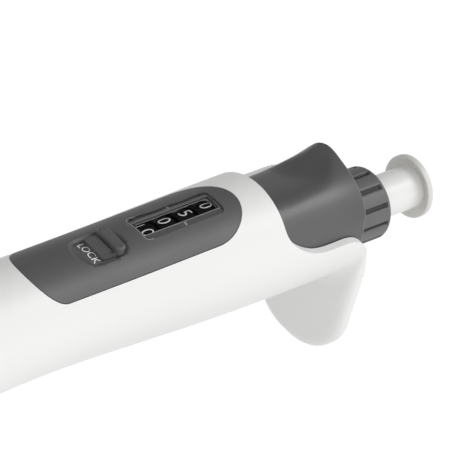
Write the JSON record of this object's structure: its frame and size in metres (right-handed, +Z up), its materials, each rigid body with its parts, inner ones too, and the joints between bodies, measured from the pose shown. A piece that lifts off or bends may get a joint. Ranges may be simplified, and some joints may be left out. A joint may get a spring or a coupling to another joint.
{
  "type": "adjustable volume pipette",
  "caption": "Hand-held air-displacement pipette with a button, a ribbed volume ring, a number window, a tip ejector, a volume lock and a finger hook.",
  "frame": {"origin": "centre of the nozzle's end face, on the plunger axis, where a disposable tip is pushed on", "axes": "+Z up the plunger axis towards the button, number window facing -Y, finger hook towards +Y"},
  "size_m": [0.032, 0.0579, 0.2899],
  "materials": {
    "white_shell": "satin moulded polymer",
    "grey_bezel": "fine matt texture",
    "clear_lens": "clear moulded acrylic",
    "grey_mask": "matt",
    "black_drum": "matt black with white printed digits",
    "steel": "ground",
    "spring_steel": "drawn wire",
    "acetal": "natural acetal",
    "frame_plastic": "glass-filled, matt",
    "grey_ring": "fine matt texture",
    "brass": "turned",
    "button_plastic": "satin",
    "piston_plastic": "turned",
    "seal_rubber": "moulded",
    "barrel_plastic": "satin",
    "filter": "sintered, porous",
    "grey_ejector": "satin"
  },
  "bodies": {
    "handle": {"handle_shell": "white_shell", "display_bezel": "grey_bezel", "window_lens": "clear_lens", "window_mask": "grey_mask", "wheel_shaft": "steel", "carry_shaft": "steel", "counter_frame": "frame_plastic", "upper_bulkhead": "frame_plastic", "lower_bulkhead": "frame_plastic", "screw_nut": "frame_plastic", "barrel": "barrel_plastic", "barrel_socket": "frame_plastic", "nozzle": "barrel_plastic", "nozzle_ring": "seal_rubber", "filter_disc": "filter", "blowout_washer": "steel", "primary_spring": "spring_steel", "blowout_spring": "spring_steel", "ejector_spring": "spring_steel"},
    "lock": {"lock_slider": "grey_bezel"},
    "ring": {"volume_ring": "grey_ring", "drive_sleeve": "brass", "drive_gear": "acetal"},
    "idler": {"idler_gear": "acetal"},
    "stop": {"stop_washer": "steel"},
    "screw": {"lead_screw": "brass"},
    "plunger": {"push_button": "button_plastic", "push_rod": "steel", "rod_collar": "steel", "piston": "piston_plastic", "piston_seal": "seal_rubber"},
    "ejector": {"ejector_button": "grey_ejector", "ejector_rod": "steel", "ejector_sleeve": "white_shell"},
    "drum_tens": {"number_wheel_tens": "black_drum"},
    "drum_units": {"number_wheel_units": "black_drum"},
    "drum_tenths": {"number_wheel_tenths": "black_drum"},
    "drum_hundredths": {"number_wheel_hundredths": "black_drum", "wheel_pinion": "acetal"},
    "carry_units": {"carry_pinion_units": "acetal"},
    "carry_tenths": {"carry_pinion_tenths": "acetal"},
    "carry_hundredths": {"carry_pinion_hundredths": "acetal"}
  },
  "joints": [
    {"name": "screw_rise", "type": "slide", "parent": "handle", "child": "stop", "axis": [0, 0, 1], "range_m": [-0.008, 0.01]},
    {"name": "plunger_press", "type": "slide", "parent": "stop", "child": "plunger", "axis": [0, 0, 1], "range_m": [-0.0122, 0], "stiffness_N_per_m": 420, "springref_m": 0.006, "deforming": ["primary_spring"]},
    {"name": "ejector_press", "type": "slide", "parent": "handle", "child": "ejector", "axis": [0, 0, 1], "range_m": [-0.008, 0], "stiffness_N_per_m": 500, "springref_m": 0.005, "deforming": ["ejector_spring"]},
    {"name": "lock_slide", "type": "slide", "parent": "handle", "child": "lock", "axis": [0, 0, 1], "range_m": [-0.0024, 0]},
    {"name": "ring_turn", "type": "hinge", "parent": "handle", "child": "ring", "pos_m": [0, 0, 0.2], "axis": [0, 0, 1], "range_deg": [-2880.01, 3600.01]},
    {"name": "screw_turn", "type": "hinge", "parent": "stop", "child": "screw", "pos_m": [0, 0, 0.2], "axis": [0, 0, 1], "range_deg": [-2880.01, 3600.01]},
    {"name": "idler_turn", "type": "hinge", "parent": "handle", "child": "idler", "pos_m": [0.00343, -0.01087, 0.2], "axis": [0, 0, 1], "range_deg": [-13500.01, 10800.01]},
    {"name": "hundredths_turn", "type": "hinge", "parent": "handle", "child": "drum_hundredths", "pos_m": [0, -0.0133, 0.2], "axis": [0, 0, 1], "range_deg": [-14400.01, 18000.01]},
    {"name": "tenths_turn", "type": "hinge", "parent": "handle", "child": "drum_tenths", "pos_m": [0, -0.0133, 0.2], "axis": [0, 0, 1], "range_deg": [-1440.01, 1800.01]},
    {"name": "units_turn", "type": "hinge", "parent": "handle", "child": "drum_units", "pos_m": [0, -0.0133, 0.2], "axis": [0, 0, 1], "range_deg": [-144.01, 180.01]},
    {"name": "tens_turn", "type": "hinge", "parent": "handle", "child": "drum_tens", "pos_m": [0, -0.0133, 0.2], "axis": [0, 0, 1], "range_deg": [-14.41, 18.01]},
    {"name": "carry_hundredths_turn", "type": "hinge", "parent": "handle", "child": "carry_hundredths", "pos_m": [-0.0069, -0.0121, 0.2], "axis": [0, 0, 1], "range_deg": [-4500.01, 3600.01]},
    {"name": "carry_tenths_turn", "type": "hinge", "parent": "handle", "child": "carry_tenths", "pos_m": [-0.0069, -0.0121, 0.2], "axis": [0, 0, 1], "range_deg": [-450.01, 360.01]},
    {"name": "carry_units_turn", "type": "hinge", "parent": "handle", "child": "carry_units", "pos_m": [-0.0069, -0.0121, 0.2], "axis": [0, 0, 1], "range_deg": [-45.01, 36.01]}
  ],
  "couplings": [
    {"joint": "ring_turn", "follows": "screw_rise", "rad_per_m": 6283.2},
    {"joint": "screw_turn", "follows": "screw_rise", "rad_per_m": 6283.2},
    {"joint": "idler_turn", "follows": "screw_rise", "rad_per_m": -23562},
    {"joint": "hundredths_turn", "follows": "screw_rise", "rad_per_m": 31416},
    {"joint": "tenths_turn", "follows": "screw_rise", "rad_per_m": 3141.6},
    {"joint": "units_turn", "follows": "screw_rise", "rad_per_m": 314.16},
    {"joint": "tens_turn", "follows": "screw_rise", "rad_per_m": 31.416},
    {"joint": "carry_hundredths_turn", "follows": "screw_rise", "rad_per_m": -7854},
    {"joint": "carry_tenths_turn", "follows": "screw_rise", "rad_per_m": -785.4},
    {"joint": "carry_units_turn", "follows": "screw_rise", "rad_per_m": -78.54}
  ]
}
